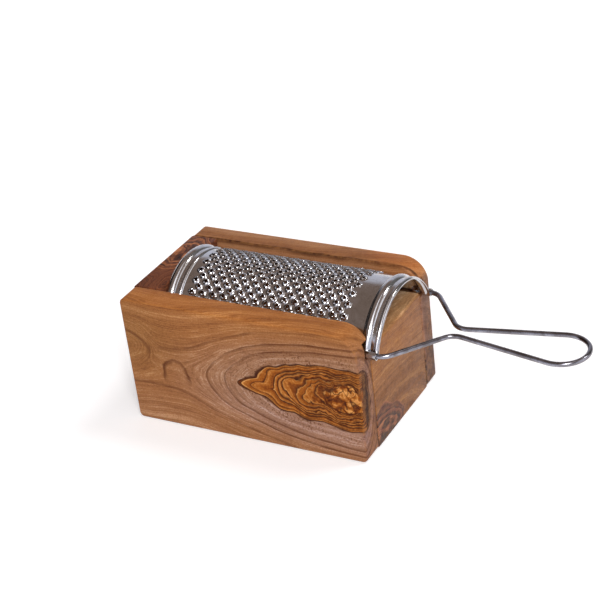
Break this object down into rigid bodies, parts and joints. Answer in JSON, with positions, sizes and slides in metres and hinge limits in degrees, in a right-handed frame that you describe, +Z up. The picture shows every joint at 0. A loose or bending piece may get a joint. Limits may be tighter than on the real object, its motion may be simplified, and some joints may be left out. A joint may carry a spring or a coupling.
{
  "type": "box cheese grater",
  "caption": "Curved wire-framed cheese grater that slides along grooves in a wooden catch box with a flat base.",
  "frame": {"origin": "centre of the wooden box's underside, on the plane that it stands on", "axes": "+X along the box towards the wire handle, +Y towards the far side wall, +Z up"},
  "size_m": [0.2632, 0.095, 0.0888],
  "materials": {
    "wall_wood": "oiled olive wood with a dark burl figure",
    "dark_wood": "oiled dark heartwood with black streaks",
    "pale_wood": "oiled straight-grained wood",
    "sheet_steel": "satin stainless sheet",
    "wire_steel": "bright drawn wire"
  },
  "bodies": {
    "box": {"near_wall": "wall_wood", "far_wall": "wall_wood", "left_end_block": "dark_wood", "right_end_block": "pale_wood", "floor_board": "pale_wood"},
    "grater": {"grating_sheet": "sheet_steel", "handle_wire": "wire_steel"}
  },
  "joints": [
    {"name": "grater_slide", "type": "slide", "parent": "box", "child": "grater", "axis": [1, 0, 0], "range_m": [0, 0.12]}
  ]
}
